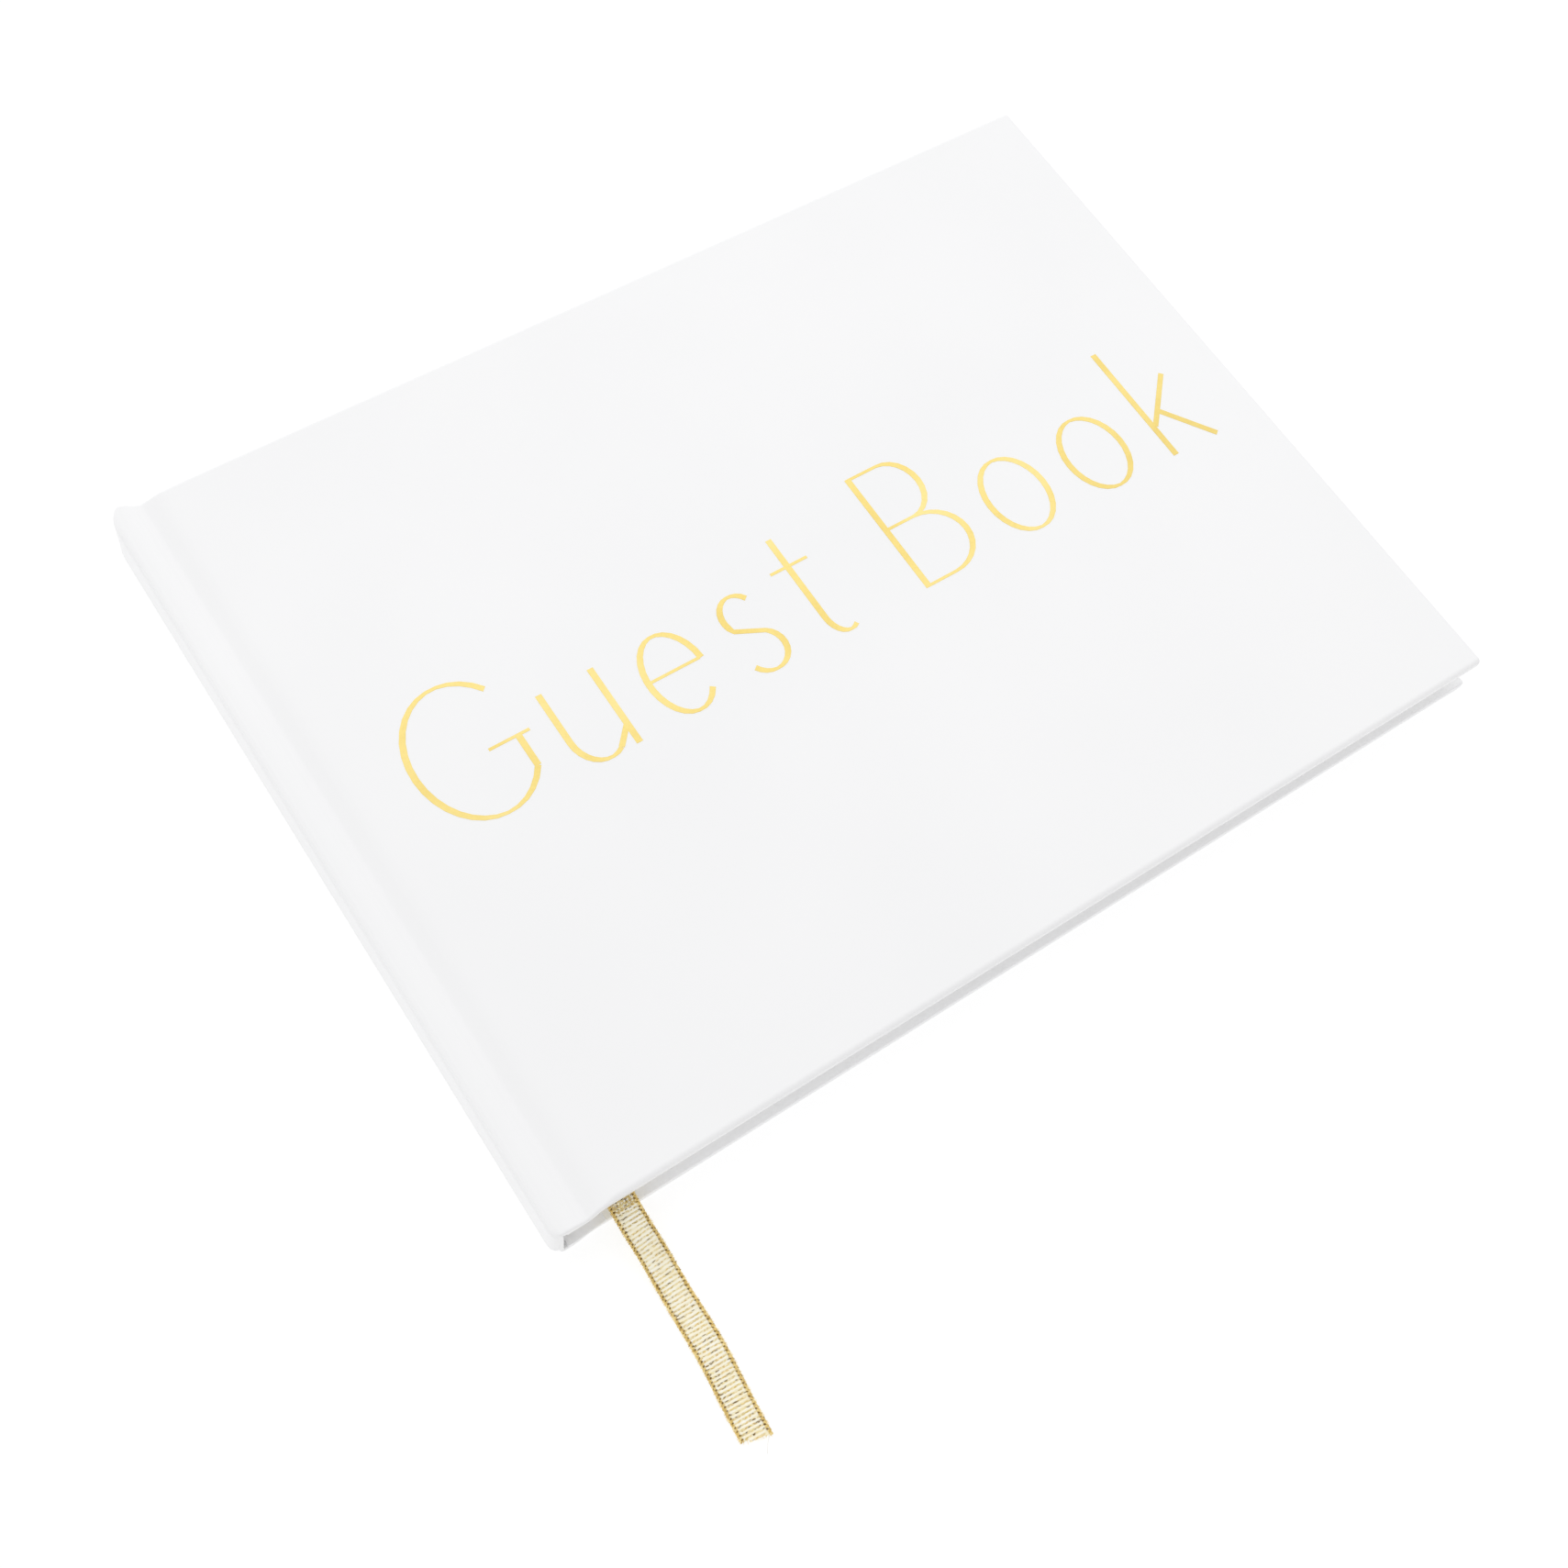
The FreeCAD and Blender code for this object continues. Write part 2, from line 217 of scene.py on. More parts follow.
def plain_paper(name, low, high, bump=0.25, painted_glow=0.0):
    """Uncoated paper with a faint cloudy look, fine fibres and an optional painted glow."""
    k = Nodes(name)
    v = k.coords()
    clouds = k.ramp(k.noise(v, 90.0, 5.0, 0.7), [(0.25, low), (0.75, high)])
    k.link(clouds, k.b.inputs["Base Color"])
    k.b.inputs["Roughness"].default_value = 0.86
    k.b.inputs["Specular IOR Level"].default_value = 0.25
    fibre = k.noise(k.coords((1, 1.8, 1), (0, 0, 0.4)), 3200.0, 5.0, 0.7)
    k.link(k.bump(fibre, bump, 0.00003), k.b.inputs["Normal"])
    # The paper glows faintly: painted light that lifts it where it lies in shade, in the gap at the tail edge.
    k.b.inputs["Emission Color"].default_value = (1.0, 1.0, 1.0, 1)
    k.b.inputs["Emission Strength"].default_value = painted_glow
    return k.m


def greyboard():
    k = Nodes("greyboard")
    v = k.coords()
    base = k.noise(v, 900.0, 8.0, 0.75)
    k.link(k.ramp(base, [(0.25, (0.36, 0.34, 0.31)), (0.6, (0.50, 0.48, 0.44)), (0.8, (0.62, 0.60, 0.56))]), k.b.inputs["Base Color"])
    k.b.inputs["Roughness"].default_value = 0.92
    k.link(k.bump(base, 0.5, 0.0001), k.b.inputs["Normal"])
    return k.m


def kraft():
    k = Nodes("kraft_lining")
    v = k.coords((1, 0.2, 1))
    base = k.noise(v, 1400.0, 6.0, 0.7)
    k.link(k.ramp(base, [(0.3, (0.38, 0.26, 0.15)), (0.7, (0.55, 0.40, 0.25))]), k.b.inputs["Base Color"])
    k.b.inputs["Roughness"].default_value = 0.85
    k.link(k.bump(base, 0.4, 0.00005), k.b.inputs["Normal"])
    return k.m


def gauze():
    k = Nodes("mull_gauze")
    v = k.coords()
    w1 = k.add("ShaderNodeTexWave", bands_direction="Y")
    w1.inputs["Scale"].default_value = 320.0
    k.link(v, w1.inputs["Vector"])
    w2 = k.add("ShaderNodeTexWave", bands_direction="Z")
    w2.inputs["Scale"].default_value = 320.0
    k.link(v, w2.inputs["Vector"])
    mx = k.add("ShaderNodeMath", operation="MAXIMUM")
    k.link(w1.outputs["Fac"], mx.inputs[0])
    k.link(w2.outputs["Fac"], mx.inputs[1])
    k.link(k.ramp(mx.outputs[0], [(0.4, (0.55, 0.50, 0.40)), (0.8, (0.86, 0.83, 0.76))]), k.b.inputs["Base Color"])
    k.b.inputs["Roughness"].default_value = 0.9
    k.link(k.bump(mx.outputs[0], 0.6, 0.0001), k.b.inputs["Normal"])
    return k.m


def thread_material(name, low, high):
    k = Nodes(name)
    w = k.add("ShaderNodeTexWave", bands_direction="DIAGONAL")
    w.inputs["Scale"].default_value = 900.0
    w.inputs["Distortion"].default_value = 1.0
    k.link(k.coords(), w.inputs["Vector"])
    k.link(k.ramp(w.outputs["Fac"], [(0.2, low), (0.8, high)]), k.b.inputs["Base Color"])
    k.b.inputs["Roughness"].default_value = 0.7
    k.b.inputs["Sheen Weight"].default_value = 0.25
    k.link(k.bump(w.outputs["Fac"], 0.4, 0.00004), k.b.inputs["Normal"])
    return k.m


def gold_foil():
    """Hot-stamped foil: a bright metal film that keeps a trace of the paper."""
    k = Nodes("gold_foil")
    v = k.coords()
    tone = k.noise(v, 55.0, 3.0)
    k.link(k.ramp(tone, [(0.25, (0.68, 0.52, 0.155)), (0.5, (0.75, 0.60, 0.22)), (0.8, (0.79, 0.655, 0.29))]), k.b.inputs["Base Color"])
    k.b.inputs["Metallic"].default_value = 1.0
    speck = k.noise(v, 2100.0, 4.0, 0.7)
    k.link(k.ramp(speck, [(0.3, grey(0.30)), (0.8, grey(0.48))]), k.b.inputs["Roughness"])
    k.link(k.bump(speck, 0.22, 0.00003), k.b.inputs["Normal"])
    return k.m


def lurex(name, low, mid, high, rough=0.34, scale=700.0):
    """Flat metallised yarn, brighter and darker from thread to thread."""
    k = Nodes(name)
    v = k.coords()
    tone = k.noise(v, scale, 3.0, 0.6)
    k.link(k.ramp(tone, [(0.30, low), (0.5, mid), (0.72, high)]), k.b.inputs["Base Color"])
    k.b.inputs["Metallic"].default_value = 0.85
    k.b.inputs["Roughness"].default_value = rough
    fine = k.noise(v, 5200.0, 2.0)
    k.link(k.bump(fine, 0.35, 0.00003), k.b.inputs["Normal"])
    return k.m


def satin_thread():
    """White satin yarn with a breath of gold in it."""
    k = Nodes("ribbon_satin")
    v = k.coords()
    tone = k.noise(v, 420.0, 3.0, 0.6)
    k.link(k.ramp(tone, [(0.30, (0.97, 0.88, 0.62)), (0.5, (0.985, 0.935, 0.76)), (0.72, (0.99, 0.975, 0.89))]), k.b.inputs["Base Color"])
    k.b.inputs["Roughness"].default_value = 0.35
    k.b.inputs["Sheen Weight"].default_value = 0.3
    k.b.inputs["Anisotropic"].default_value = 0.5
    fine = k.noise(k.coords((0.3, 1, 1)), 6000.0, 2.0)
    k.link(k.bump(fine, 0.3, 0.00002), k.b.inputs["Normal"])
    return k.m


M_COVER = cover_paper()
# The last number of the endpaper and page papers is a painted glow, light that fills their shaded gaps.
M_END = plain_paper("endpaper", (0.875, 0.873, 0.868), (0.905, 0.903, 0.900), 0.25, 0.06)
M_PAGE = plain_paper("page_paper", (0.865, 0.862, 0.855), (0.905, 0.903, 0.897), 0.25, 0.06)
M_BOARD = greyboard()
M_KRAFT = kraft()
M_MULL = gauze()
M_THREAD = thread_material("sewing_thread", (0.70, 0.68, 0.62), (0.88, 0.86, 0.81))
M_BAND = thread_material("band_thread", (0.74, 0.73, 0.70), (0.90, 0.89, 0.87))
M_FOIL = gold_foil()
M_GROUND = plain_paper("ribbon_ground", (0.93, 0.84, 0.56), (0.98, 0.94, 0.76), 0.4)
M_WEFT = satin_thread()
M_LUREX = lurex("ribbon_lurex", (0.52, 0.38, 0.12), (0.84, 0.68, 0.27), (0.98, 0.88, 0.52), 0.42, 900.0)
M_SELV = lurex("ribbon_selvedge", (0.55, 0.36, 0.09), (0.84, 0.64, 0.25), (0.97, 0.86, 0.52), 0.36, 1500.0)
M_DARK = lurex("ribbon_stitch", (0.12, 0.07, 0.02), (0.24, 0.15, 0.05), (0.42, 0.28, 0.10), 0.45, 1500.0)


def paint(obj, material):
    obj.data.materials.clear()
    obj.data.materials.append(material)


for node, material in {
    "front_board": M_BOARD,
    "back_board": M_BOARD,
    "kraft_spine_lining": M_KRAFT,
    "mull": M_MULL,
    "sewing_thread": M_THREAD,
}.items():
    paint(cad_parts[node], material)

# ------------------------------------------------------------ camera, stage
cam_data = bpy.data.cameras.new("camera")
camera = bpy.data.objects.new("camera", cam_data)
bpy.context.scene.collection.objects.link(camera)
right = Vector((0.823416, -0.554727, 0.119449))
up = Vector((0.46097526, 0.77668546, 0.42925952))
back = Vector((-0.33089564, -0.29839634, 0.89524763))
right.normalize()
back = (back - right * back.dot(right)).normalized()
up = back.cross(right)
camera.matrix_world = Matrix(
    (
        (right.x, up.x, back.x, -0.16822),
        (right.y, up.y, back.y, -0.15852),
        (right.z, up.z, back.z, 0.38193),
        (0, 0, 0, 1),
    )
)
cam_data.sensor_width = 36.0
cam_data.lens = 46.07
cam_data.clip_start = 0.01
cam_data.clip_end = 20.0
bpy.context.scene.camera = camera

floor = new_object(
    "studio_floor",
    [(-3000 + HALF_W, -3000, -0.03), (3000 + HALF_W, -3000, -0.03), (3000 + HALF_W, 3000, -0.03), (-3000 + HALF_W, 3000, -0.03)],
    [(0, 1, 2, 3)],
    smooth=False,
)
k = Nodes("studio_floor")
k.b.inputs["Base Color"].default_value = (0.30, 0.30, 0.30, 1)
k.b.inputs["Roughness"].default_value = 1.0
k.b.inputs["Specular IOR Level"].default_value = 0.1
k.b.inputs["Emission Color"].default_value = (1.0, 1.0, 1.0, 1)
k.b.inputs["Emission Strength"].default_value = 0.75
paint(floor, k.m)

scene = bpy.context.scene
scene.view_settings.view_transform = "Standard"
scene.view_settings.look = "None"
world = bpy.data.worlds.new("studio")
scene.world = world
world.use_nodes = True
# A white tent, brighter behind the object than on the camera's side.
wt = world.node_tree
bg = next(n for n in wt.nodes if n.type == "BACKGROUND")
way = wt.nodes.new("ShaderNodeTexCoord")
split = wt.nodes.new("ShaderNodeSeparateXYZ")
tent = wt.nodes.new("ShaderNodeMapRange")
tent.inputs["From Min"].default_value = -1.0
tent.inputs["From Max"].default_value = 1.0
tent.inputs["To Min"].default_value = 0.73
tent.inputs["To Max"].default_value = 1.13
wt.links.new(way.outputs["Generated"], split.inputs["Vector"])
wt.links.new(split.outputs["Y"], tent.inputs["Value"])
wt.links.new(tent.outputs["Result"], bg.inputs["Color"])
bg.inputs["Strength"].default_value = 1.0


def area(name, at, size, power, target=(0, 0, 0), colour=(1, 1, 1)):
    data = bpy.data.lights.new(name, "AREA")
    data.shape = "SQUARE"
    data.size = size
    data.energy = power
    data.color = colour
    o = bpy.data.objects.new(name, data)
    bpy.context.scene.collection.objects.link(o)
    o.location = at
    o.rotation_mode = "QUATERNION"
    o.rotation_quaternion = (Vector(target) - Vector(at)).to_track_quat("-Z", "Y")
    return o


area("key", (0.45, 0.75, 0.95), 1.35, 2.7)

# --------------------------------------------------------------- cover wrap
# One sheet wraps each half of the case: from the middle of the spine over its
# shoulder, down into the French groove, and over the board, whose edges it
# turns in. O is the outer line in XZ and the sheet's thickness lies inside it.
SHOULDER = [
    (1.75, 11.99),
    (3.0, 12.03),
    (4.4, 11.84),
    (5.9, 11.27),
    (7.5, 10.88),
    (9.1, 11.20),
    (10.7, 11.66),
    (12.4, 11.93),
    (14.4, 12.0),
]
# Radii of the covers' outer edges, front then back: the tail edge of the front
# cover is the softest. The sheet itself adds a little outside the boards.
TAIL_R = {True: 1.10, False: 0.50}
HEAD_R = {True: 0.70, False: 0.50}
FORE_R = {True: 0.65, False: 0.50}
FORE_OUT, HEAD_OUT = 0.50, 0.28
WV = W + FORE_OUT
CORNER_R = 0.75


def case_path(top):
    """Outer line of the top half: list of (x, z, thickness)."""
    fore = FORE_R[top]
    # The lower ridge stands out a little further than the upper one.
    swell = 0.0 if top else 0.18
    pts = []
    for z in (6.0, 7.0, 8.0, 9.0, 9.7, 10.15):
        pts.append(((0.05 - swell) * ((z - 6.0) / 4.0) ** 2, z, 1.60))
    r = 1.75
    for i in range(1, 27):
        a = math.radians(180 - 90 * i / 26)
        dent = 0.17 * math.exp(-(((math.degrees(a) - 148) / 9.0) ** 2))
        rr = r - dent
        pts.append((r + 0.05 + (rr + swell) * math.cos(a), 12.0 - r + rr * math.sin(a), 1.50))
    x = 1.95
    while x < 13.6:
        z = hermite(SHOULDER, x)
        t = 1.50 + (0.42 - 1.50) * smoothstep(2.3, 3.3, x)
        t = t + (2.40 - 0.42) * smoothstep(11.25, 11.65, x)
        pts.append((x, z, t))
        x += 0.12 if 11.0 < x < 11.9 else 0.24
    for x in (14.2, 15.5, 18, 24, 34, 50, 70, 95, 120, 145, 170, 192, 210, 222, 230, 235, 237.2, 238.2):
        pts.append((float(x), 12.0, 2.40))
    n = 7
    for i in range(0, n + 1):
        a = math.radians(90 * i / n)
        pts.append((WV - fore + fore * math.sin(a), 12.0 - fore + fore * math.cos(a), None))
    pts.append((WV, 11.2, None))
    pts.append((WV, 10.6, None))
    return pts


def plan_end(x):
    """How far the sheet reaches along Y at x, with round fore-edge corners."""
    if x > WV - CORNER_R:
        d = min(CORNER_R, x - (WV - CORNER_R))
        return HALF_H - CORNER_R + math.sqrt(max(0.0, CORNER_R**2 - d**2))
    return HALF_H


def head_reach(x, top):
    """The cap at the head of the spine stands a little past the boards."""
    return HEAD_OUT * smoothstep(8.0, 20.0, x) + (HEAD_OUT + 0.75) * (1.0 - smoothstep(2.4, 7.4, x))


def tail_reach(x, z, top):
    """z counts from the middle of the spine, where the two halves meet."""
    if top:
        out = 0.12 + 0.42 * (1.0 - smoothstep(7.0, 11.0, x))
    else:
        out = 0.38 + 0.34 * (1.0 - x / W) + 0.35 * (1.0 - smoothstep(5.0, 11.0, x))
    return 0.80 + (out - 0.80) * smoothstep(6.0, 10.6, z)


def turned_in(x, z, t, y):
    """Thickness of the joint at y: at its two ends the sheet is folded back in."""
    full = t + (z - 9.62 - t) * smoothstep(2.3, 3.3, x) if x < 11.65 else t
    return t + (max(t, full) - t) * smoothstep(83.0, 86.6, abs(y))


def pinch(y):
    """The spine's ends turn in round their corners, the head more than the tail."""
    head = min(1.0, max(0.0, (y - 84.6) / 6.5))
    tail = min(1.0, max(0.0, (-y - 88.4) / 2.1))
    a = 2.9 * (1.0 - math.sqrt(1.0 - head * head))
    b = 1.5 * (1.0 - math.sqrt(1.0 - tail * tail))
    return a + b


def drawn_in(x, y):
    return pinch(y) * max(0.0, 1.0 - max(0.0, x) / 3.4) ** 1.25


Y_ROWS = [
    -1.0, -0.9975, -0.994, -0.989, -0.982, -0.973, -0.955, -0.92, -0.86, -0.76, -0.62, -0.45, -0.25, 0.0,
    0.25, 0.45, 0.62, 0.76, 0.86, 0.90, 0.925, 0.94, 0.95, 0.96, 0.968, 0.975, 0.981, 0.986, 0.990, 0.994, 0.997, 1.0,
]


def board_warp(x, y):
    """Boards are never quite flat: they lift by a few tenths at the corners."""
    u = (x - 12.0) / (W - 12.0)
    if u <= 0:
        return 0.0
    return (0.09 * (y / HALF_H) ** 2 + 0.07 * u * u * (1 - 0.3 * (y / HALF_H))) * smoothstep(0.0, 0.25, u)


def case_half(name, top):
    path = case_path(top)
    fore = FORE_R[top]
    rings = []
    n = len(path)
    for i, (x, z, t) in enumerate(path):
        if t is None:
            rings.append(("edge", x, z))
            continue
        a = path[max(i - 1, 0)]
        b = path[min(i + 1, n - 1)]
        dx, dz = b[0] - a[0], b[1] - a[1]
        d = math.hypot(dx, dz)
        nx, nz = dz / d, -dx / d  # inward: to the right of the outward-going line
        if x > 10.9:
            f = smoothstep(10.9, 11.5, x)
            nx, nz = nx * (1 - f), nz * (1 - f) - f
            q = math.hypot(nx, nz)
            nx, nz = nx / q, nz / q
        rings.append(("sheet", x, z, nx, nz, t))
    verts, ring_len = [], None
    for i_ring, r in enumerate(rings):
        ring = []
        if r[0] == "sheet":
            _, x, z, nx, nz, t = r
            grow = smoothstep(11.2, 14.0, x)
            te = turned_in(x, z, t, HALF_H)
            rt = min(0.55 + (TAIL_R[top] - 0.55) * grow, 0.48 * te)
            rh = min(0.55 + (HEAD_R[top] - 0.55) * grow, 0.48 * te)
            ri = min(0.3, 0.46 * te)
        else:
            _, x, z = r
            depth = 12.0 - z
            low = max(0.0, 0.5 - (WV - x)) if x > WV - 0.5 else 0.0
            low = 0.5 - math.sqrt(max(0.0, 0.25 - low * low))
            if i_ring >= len(rings) - 3:
                low += 0.16 * (i_ring - (len(rings) - 3))
            inner_z = 12.0 - 2.40 + low
            nx, nz = 0.0, -1.0
            t = te = z - inner_z
            rt = max(0.05, min(TAIL_R[top] - depth * 0.8, 0.48 * t))
            rh = max(0.05, min(HEAD_R[top] - depth * 0.8, 0.48 * t))
            ri = max(0.05, min(0.5 - low * 0.8, 0.45 * t))
        end_hi = plan_end(x) + head_reach(x, top)
        end_lo = -(plan_end(x) + tail_reach(x, z, top))

        def place(y, h):
            if te > t:
                h *= turned_in(x, z, t, y) / te
            px, pz = x + nx * h, z + nz * h
            bend = drawn_in(px, y)
            droop = 0.16 * bend * smoothstep(9.0, 12.0, pz)
            if not top:
                pz = min(pz, T - 0.015)
            return (px + bend, y, pz - droop + (board_warp(px, y) if top else 0.0))

        for f in Y_ROWS:  # outer face, tail to head
            lo_y, hi_y = end_lo + rt, end_hi - rh
            ring.append(place(lo_y + (0.5 + 0.5 * f) * (hi_y - lo_y), 0.0))
        for j in range(1, 7):  # over the head edge
            a = math.radians(90 * j / 6)
            ring.append(place(end_hi - rh + rh * math.sin(a), rh - rh * math.cos(a)))
        for j in range(0, 5):
            a = math.radians(90 * j / 4)
            ring.append(place(end_hi - ri + ri * math.cos(a), te - ri + ri * math.sin(a)))
        for f in reversed(Y_ROWS[1:-1]):
            lo_y, hi_y = end_lo + ri, end_hi - ri
            ring.append(place(lo_y + (0.5 + 0.5 * f) * (hi_y - lo_y), te))
        for j in range(4, -1, -1):
            a = math.radians(90 * j / 4)
            ring.append(place(end_lo + ri - ri * math.cos(a), te - ri + ri * math.sin(a)))
        for j in range(6, 0, -1):
            a = math.radians(90 * j / 6)
            ring.append(place(end_lo + rt - rt * math.sin(a), rt - rt * math.cos(a)))
        ring_len = len(ring)
        verts.extend(ring)
    faces = []
    for i in range(len(rings) - 1):
        for j in range(ring_len):
            a = i * ring_len + j
            b = i * ring_len + (j + 1) % ring_len
            faces.append((a, b, b + ring_len, a + ring_len))
    # End faces, as quads between the outer and the inner rows.
    rows = len(Y_ROWS)
    arc = 11

    def cap(base, flip_it):
        outer = [base + j for j in range(rows)]
        inner_start = rows + arc
        inner = [base + inner_start - 1] + [base + inner_start + j for j in range(rows - 2)] + [base + inner_start + rows - 2]
        inner = inner[::-1]
        out = []
        for j in range(rows - 1):
            q = (outer[j], outer[j + 1], inner[j + 1], inner[j])
            out.append(q if not flip_it else q[::-1])
        head = [base + rows - 1 + j for j in range(0, arc + 1)]
        tail = [base] + [base + ring_len - 1 - j for j in range(0, arc)]
        out.append(tuple(head) if flip_it else tuple(head[::-1]))
        out.append(tuple(tail[::-1]) if flip_it else tuple(tail))
        return out

    faces += cap(0, True)
    faces += cap((len(rings) - 1) * ring_len, False)
    v = np.array(verts)
    if not top:
        v[:, 2] = T - v[:, 2]
        faces = [f[::-1] for f in faces]
    obj = new_object(name, v, faces)
    bm = bmesh.new()
    bm.from_mesh(obj.data)
    bmesh.ops.recalc_face_normals(bm, faces=bm.faces)
    bm.to_mesh(obj.data)
    bm.free()
    obj.data.polygons.foreach_set("use_smooth", [True] * len(obj.data.polygons))
    sharp_by_angle(obj, 50)
    paint(obj, M_COVER)
    return obj


case_front = case_half("cover_wrap_front_half", True)
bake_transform(case_front)
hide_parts("front_cover_wrap", "front_joint_wrap", "spine_wrap")
case_back = case_half("cover_wrap_back_half", False)
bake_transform(case_back)
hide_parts("back_cover_wrap", "back_joint_wrap")


# The card that stiffens the spine lies inside the sheet and follows its ends.
lo_b, hi_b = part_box("spine_board")
card_y = [lo_b.y * 1000.0 + (hi_b.y - lo_b.y) * 1000.0 * (0.5 + 0.5 * f) for f in Y_ROWS]
card_ring = [(0.25, 2.2), (0.85, 1.0), (1.35, 0.8), (1.35, 11.2), (0.85, 11.0), (0.25, 9.8)]
cv = [(x + drawn_in(x, y), y, z) for y in card_y for x, z in card_ring]
nr = len(card_ring)
cf = [
    (i * nr + j, i * nr + (j + 1) % nr, (i + 1) * nr + (j + 1) % nr, (i + 1) * nr + j)
    for i in range(len(card_y) - 1)
    for j in range(nr)
]
cf += [tuple(range(nr))[::-1], tuple((len(card_y) - 1) * nr + j for j in range(nr))]
card = new_object("spine_card", cv, cf, smooth=False)
paint(card, M_BOARD)
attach(card, "text_block")
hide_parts("spine_board")


# ------------------------------------------------------------------- leaves
LEAF_X = [3.0, 3.4, 4.0, 4.6, 5.2, 5.9, 6.6, 7.4, 8.2, 9.0, 9.8, 10.7, 11.6, 12.6, 13.7, 15.0, 17.5, 24, 45, 80, 120, 160, 195, 220]
LEAF_Y = [-1.0, -0.97, -0.8, -0.5, -0.2, 0.1, 0.4, 0.7, 0.9, 0.985, 1.0]


def leaf_grid(x0, x1, y0, y1, z0, z1, shape=None):
    """Closed thin sheet, with its rows closer together near its fold."""
    xs = [x0] + [x for x in LEAF_X if x0 + 0.2 < x < x1 - 1.0] + [x1]
    mid, half = 0.5 * (y0 + y1), 0.5 * (y1 - y0)
    ys = [mid + f * half for f in LEAF_Y]
    nx, ny = len(xs), len(ys)
    verts, faces = [], []
    for z in (z1, z0):
        for x in xs:
            for y in ys:
                dz = shape(x, y) if shape else 0.0
                verts.append((x, y, z + dz))
    low = nx * ny
    for i in range(nx - 1):
        for j in range(ny - 1):
            a, b, c, d = i * ny + j, (i + 1) * ny + j, (i + 1) * ny + j + 1, i * ny + j + 1
            faces.append((a, b, c, d))
            faces.append((low + d, low + c, low + b, low + a))
    for i in range(nx - 1):
        a, b = i * ny, (i + 1) * ny
        faces.append((a, low + a, low + b, b))
        a, b = i * ny + ny - 1, (i + 1) * ny + ny - 1
        faces.append((b, low + b, low + a, a))
    for j in range(ny - 1):
        a, b = j, j + 1
        faces.append((b, low + b, low + a, a))
        a, b = (nx - 1) * ny + j, (nx - 1) * ny + j + 1
        faces.append((a, low + a, low + b, b))
    return verts, faces


def join(parts):
    verts, faces = [], []
    for v, f in parts:
        base = len(verts)
        verts.extend(v)
        faces.extend([tuple(base + i for i in q) for q in f])
    return verts, faces


def node_z(node):
    a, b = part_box(node)
    return a.z * 1000.0, b.z * 1000.0


def node_right(node):
    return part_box(node)[1].x * 1000.0 + HALF_W


def section(name, z0, z1, right_x, leaves=8):
    """Four folded sheets: eight leaves whose inner sheets start further in."""
    pitch = (z1 - z0) / leaves
    parts = []
    for i in range(leaves):
        nest = min(i, leaves - 1 - i)
        jut = rng.uniform(-0.07, 0.05)
        parts.append(
            leaf_grid(
                3.0 + 0.16 * nest,
                right_x + jut,
                -HALF_H + 3.0 + rng.uniform(-0.04, 0.05),
                HALF_H - 3.0 + rng.uniform(-0.05, 0.04),
                z0 + pitch * i + 0.006,
                z0 + pitch * (i + 1) - 0.006,
            )
        )
    obj = new_object(name, *join(parts), smooth=True)
    sharp_by_angle(obj, 40)
    paint(obj, M_PAGE)
    return obj


for n in (1, 2, 3):
    z0, z1 = node_z("section_%d_leaves" % n)
    s = section("section_%d_sheets" % n, z0, z1, node_right("section_%d_leaves" % n))
    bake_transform(s)
    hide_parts("section_%d_leaves" % n, "section_%d_fold" % n)
for n in (4, 5, 6):
    z0, z1 = node_z("section_%d" % n)
    s = section("section_%d_sheets" % n, z0, z1, node_right("section_%d" % n))
    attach(s, "text_block")
    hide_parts("section_%d" % n)


def endpaper(name, x0, x1, z0, z1, y_half, nodes, shape=None):
    obj = new_object(name, *leaf_grid(x0, x1, -y_half, y_half, z0, z1, shape), smooth=True)
    sharp_by_angle(obj, 40)
    paint(obj, M_END)
    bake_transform(obj)
    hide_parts(*nodes)
    return obj


z0, z1 = node_z("front_flyleaf")
fly_right = node_right("front_flyleaf")
endpaper(
    "front_flyleaf_sheet", 3.0, fly_right, z0, z1, HALF_H - 3.0,
    ["front_flyleaf", "front_endpaper_fold"],
)
z0, z1 = node_z("back_flyleaf")
endpaper(
    "back_flyleaf_sheet", 3.0, fly_right, z0, z1, HALF_H - 3.0,
    ["back_flyleaf", "back_endpaper_fold"],
)
z0, z1 = node_z("front_pastedown")
endpaper(
    "front_pastedown_sheet", 3.3, W - 3.0, z0, z0 + 0.15, HALF_H - 3.0,
    ["front_pastedown"], board_warp,
)

# ------------------------------------------------------------ stamped title
# The foil's outline comes from the CAD node. It lies on the sheet as that really runs, lifted with the board's warp.
foil_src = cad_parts["title_foil"]
foil_mesh = foil_src.data.copy()
foil_mesh.transform(foil_src.matrix_world)
foil = bpy.data.objects.new("title_stamped", foil_mesh)
bpy.context.scene.collection.objects.link(foil)
for v in foil_mesh.vertices:
    v.co.z += board_warp(v.co.x * 1000.0 + HALF_W, v.co.y * 1000.0) * MM
foil_mesh.update()
paint(foil, M_FOIL)
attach(foil, "front_cover")
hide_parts("title_foil")
z0, z1 = node_z("back_pastedown")
endpaper(
    "back_pastedown_sheet", 3.3, W - 3.0, z1 - 0.15, z1, HALF_H - 3.0,
    ["back_pastedown"],
)


